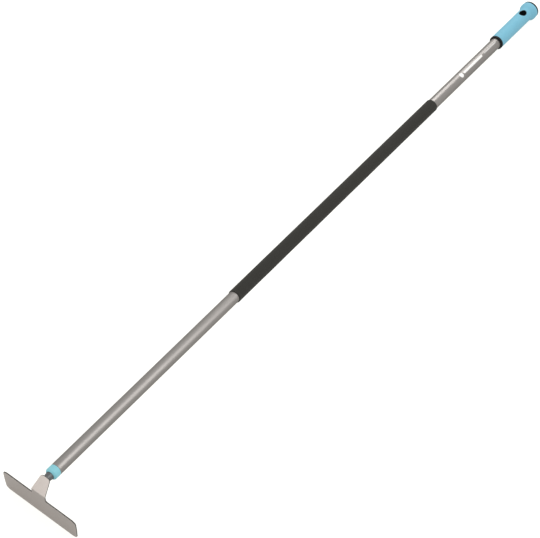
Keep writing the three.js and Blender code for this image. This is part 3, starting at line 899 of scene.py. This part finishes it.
# ---- Soft grip ----
# A 1.5 mm skin of pale blue thermoplastic rubber moulded over the core, with a fine matt spark finish. It
# swells to a flare that keeps the hand on, and its edges at the collar and round the hole are rolled in.
over_form = bmesh.new()
outer_skin = skin(over_form, grip_places, grip_outside, grip_sides, hole_place, hole_radius, hole_angles,
                  hole_window, round_over=0.0007, stretch=hole_stretch)
inner_skin = skin(over_form, grip_places, core_outside, grip_sides, hole_place, hole_radius, hole_angles,
                  hole_window, stretch=hole_stretch)
for outer_rim, inner_rim in zip(outer_skin[2], inner_skin[2]):
    join(over_form, outer_rim, inner_rim)
lower_edge = softened([
    (over_low.x + 0.001, core_outside(over_low.x), 0),
    (over_low.x, core_outside(over_low.x), 0),
    (over_low.x, grip_radius, 0.0009),
    (over_low.x + 0.001, grip_radius, 0),
])
close_end(over_form, lower_edge[1:-1], before=[inner_skin[0]], after=[outer_skin[0]])
upper_edge = softened([
    (over_high.x - 0.0006, grip_outside(over_high.x - 0.0006), 0),
    (over_high.x, grip_outside(over_high.x), 0.0004),
    (over_high.x, core_outside(over_high.x), 0),
])
close_end(over_form, upper_edge[1:], before=[outer_skin[1]], after=[inner_skin[1]])
grip = made_piece("soft_grip", over_form)

rubber_finish, tree, shader, place = new_finish("pale blue soft rubber")
matt = effect(tree, tooth, {"Place": place, "Cells per metre": 1700.0, "Relief": 0.00006, "Detail": 3.0})
palm = effect(tree, handling, {"Place": place, "Smears per metre": 30.0, "Low": 0.5, "High": 0.62})
rubbed = effect(tree, rubbing, {"Place": place, "Nicks per metre": 300.0, "Amount": 0.35})
blue = mixed(tree, palm.outputs["Smear"], tint(112, 178, 203), tint(127, 189, 209))
blue = mixed(tree, matt.outputs["Shade"], blue, tint(121, 182, 204))
feed(tree, shader, {
    "Base Color": mixed(tree, rubbed.outputs["Mask"], blue, tint(176, 219, 234)),
    "Roughness": palm.outputs["Value"],
    "Specular IOR Level": 0.3,
    "Normal": matt.outputs["Normal"],
})
grip.data.materials.append(rubber_finish)
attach(grip, "root")
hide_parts("grip_overmould")

# ---- Hanging eyelet ----
# A black bush that lines the hanging hole from side to side, its lips rounded and trimmed to the barrel.
eyelet_outside = 0.0077
eyelet_bore = 0.0066
eyelet_lip = 0.0005
eyelet_lip_depth = 0.002


def eyelet_row(size, sunk, end):
    """A row round the bush at a distance below the barrel's surface, at its upper (1) or lower (-1) end."""
    def section(angle):
        place = hole_place + hole_stretch * size * math.cos(angle)
        rise = math.sqrt(grip_outside(place) ** 2 - (size * math.sin(angle)) ** 2) - sunk
        return end * rise, size
    return section


eyelet_sections = []
for end in (1, -1):
    lip = softened([
        (eyelet_lip_depth, eyelet_outside, 0),
        (0, eyelet_outside, eyelet_lip),
        (0, eyelet_bore, eyelet_lip),
        (eyelet_lip_depth, eyelet_bore, 0),
    ], 5)
    rows = [eyelet_row(size, sunk, end) for sunk, size in lip]
    eyelet_sections += rows if end == 1 else rows[::-1]
eyelet_form = turned(eyelet_sections, sides=96, closed=True)
for vertex in eyelet_form.verts:
    rise, across, up = vertex.co
    vertex.co = (hole_place + across * hole_stretch, up, rise)
eyelet_lie = laid_down @ Matrix.Rotation(hole_angles[0] - math.radians(90), 4, "X")
eyelet = made_piece("eyelet", eyelet_form, lie=eyelet_lie)
eyelet.data.materials.append(black_finish)
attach(eyelet, "root")
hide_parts("hang_eyelet")

# ---- End cap ----
# A flat black cap pressed by its spigot into the core. Its rim stands just proud of the blue skin and shows
# as a thin black line around the end of the grip.
cap_underside = cap_high.x - cap_thickness
cap_spigot = pocket_radius - 0.0003
cap_dish = 0.0006
cap_dish_rim = 0.0150
cap_dish_floor = 0.0144
cap_sections = softened([
    (cap_low.x, cap_spigot, 0.0009),
    (cap_underside, cap_spigot, 0),
    (cap_underside, rim_radius, 0.0003),
    (cap_high.x, rim_radius, 0.0009),
    (cap_high.x, cap_dish_rim, 0.0004),
    (cap_high.x - cap_dish, cap_dish_floor, 0.0004),
    (cap_high.x - cap_dish, 0.0010, 0),
])
cap_sections = [(cap_low.x, 0)] + cap_sections + [(cap_high.x - cap_dish, 0)]
cap = made_piece("end_cap", turned(cap_sections, sides=128))
cap.data.materials.append(black_finish)
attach(cap, "root")
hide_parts("grip_end_cap")

# ---- Studio ----
# A plain pale floor under an even sky, a long soft lamp over each half of the handle, and one to the left
# that lights the neck.
bpy.ops.mesh.primitive_grid_add(x_subdivisions=24, y_subdivisions=24, size=40, location=(0, 0, cad_box[0].z))
floor = bpy.context.object
floor.name = "floor"
floor_finish, tree, shader, place = new_finish("pale floor")
dusting = effect(tree, handling, {"Place": place, "Smears per metre": 3.0, "Low": 0.85, "High": 0.95})
seen = add(tree, "LightPath").outputs["Is Camera Ray"]
glow = add(tree, "MapRange", {"Value": seen, "To Min": 0.35, "To Max": 0.8})
feed(tree, shader, {
    "Base Color": tint(170, 170, 168),
    "Roughness": dusting.outputs["Value"],
    "Specular IOR Level": 0.0,
    "Emission Color": tint(255, 254, 250),
    "Emission Strength": glow.outputs[0],
})
floor.data.materials.append(floor_finish)

sky = bpy.data.worlds.new("studio")
sky.use_nodes = True
sky.node_tree.nodes["Background"].inputs["Color"].default_value = tint(250, 250, 249)
sky.node_tree.nodes["Background"].inputs["Strength"].default_value = 0.85
bpy.context.scene.world = sky


def soft_lamp(name, place, target, length, width, power):
    """Hangs a soft rectangular lamp, its length lying along the handle."""
    lamp = bpy.data.lights.new(name, "AREA")
    lamp.shape = "RECTANGLE"
    lamp.size, lamp.size_y = length, width
    lamp.energy = power
    carrier = bpy.data.objects.new(name, lamp)
    bpy.context.scene.collection.objects.link(carrier)
    down = (Vector(target) - Vector(place)).normalized()
    across = down.cross(along).normalized()
    level = across.cross(down)
    carrier.matrix_world = Matrix((level, across, -down)).transposed().to_4x4()
    carrier.location = place


soft_lamp("lower lamp", (0.30, -0.76, 1.50), (-0.66, 0, 0.10), 0.75, 1.50, 8)
soft_lamp("upper lamp", (1.54, 0.62, 1.02), (0.60, 0, 0.05), 0.45, 1.10, 6.2)
soft_lamp("neck lamp", (-2.6, 0.5, 0.35), (-0.85, 0, 0.08), 0.6, 0.6, 6)

# ---- Camera ----
# A long lens from above and behind the head, turned so that the handle runs up across the picture.
azimuth, elevation, roll = math.radians(-66.04), math.radians(51.77), math.radians(15.01)
distance = 4.600
aim = (cad_box[0] + cad_box[1]) / 2 + Vector((-0.1530, -0.0060, 0.0012))
back = Vector((
    math.sin(azimuth) * math.cos(elevation), -math.cos(azimuth) * math.cos(elevation), math.sin(elevation),
))
lens = bpy.data.cameras.new("camera")
lens.lens = 158.27
lens.sensor_width = 36
camera = bpy.data.objects.new("camera", lens)
bpy.context.scene.collection.objects.link(camera)
camera.rotation_mode = "QUATERNION"
camera.location = aim + back * distance
turn = Matrix.Rotation(roll, 3, "Z").to_quaternion()
camera.rotation_quaternion = (-back).to_track_quat("-Z", "Y") @ turn
bpy.context.scene.camera = camera
bpy.context.scene.view_settings.view_transform = "Standard"
